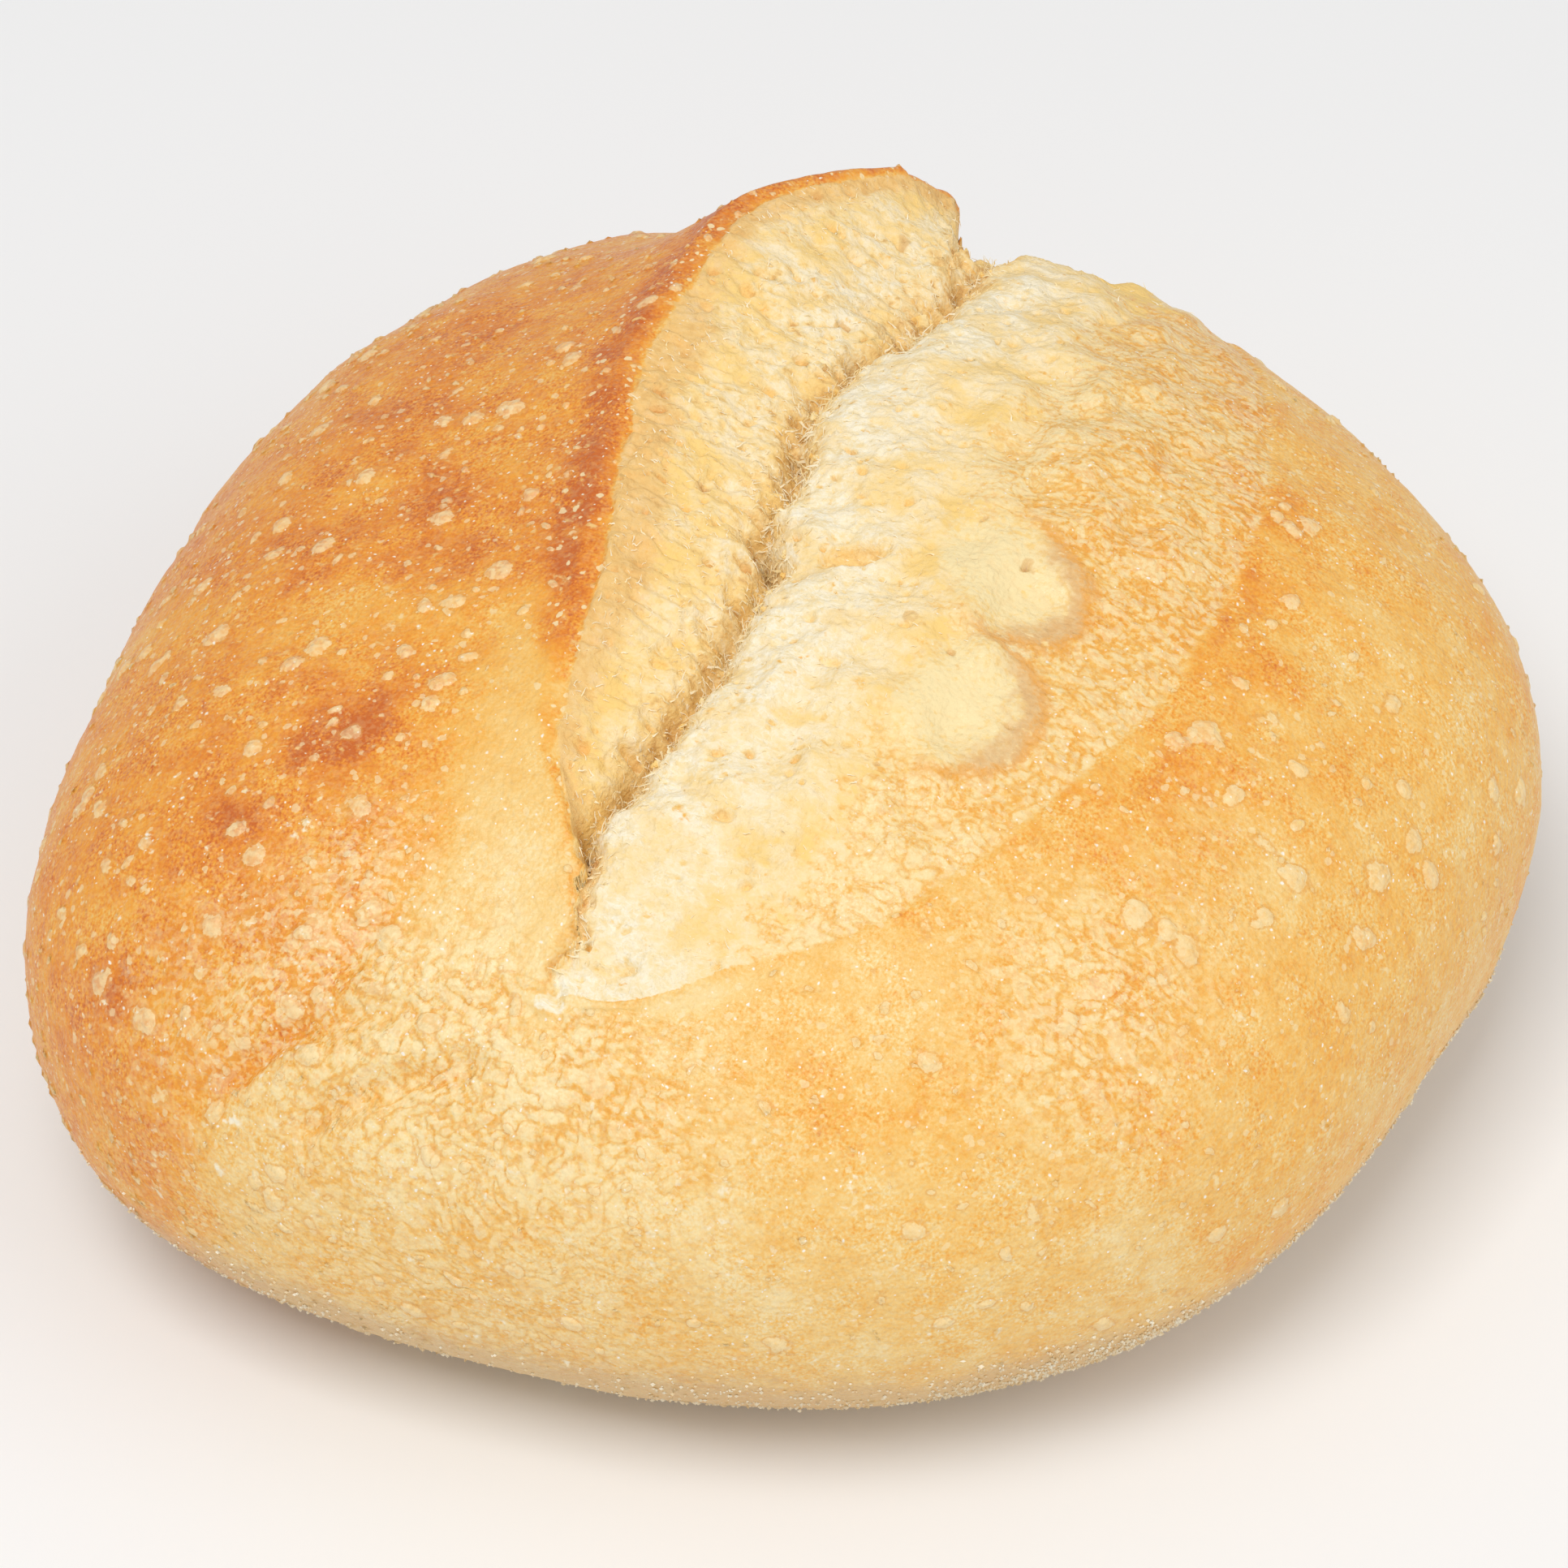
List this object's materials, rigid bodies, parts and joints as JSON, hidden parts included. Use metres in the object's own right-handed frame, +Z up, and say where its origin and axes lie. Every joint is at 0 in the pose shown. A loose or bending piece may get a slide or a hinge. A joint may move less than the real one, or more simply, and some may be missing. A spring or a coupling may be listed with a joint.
{
  "type": "sourdough loaf",
  "caption": "Round hearth loaf with a flat sole, opened along its top by a curved cut, with a raised ear of crust beside a bloom of torn crumb.",
  "frame": {"origin": "on the flat sole, under the middle of the loaf's box", "axes": "+Z up from the sole, +X to the right along the loaf's longest side, +Y away from the front, where the cut begins"},
  "size_m": [0.1987, 0.1877, 0.0907],
  "materials": {
    "crust": "satin",
    "crumb": "matte",
    "flour": "matte"
  },
  "bodies": {
    "root": {"loaf": "crust"}
  },
  "joints": []
}
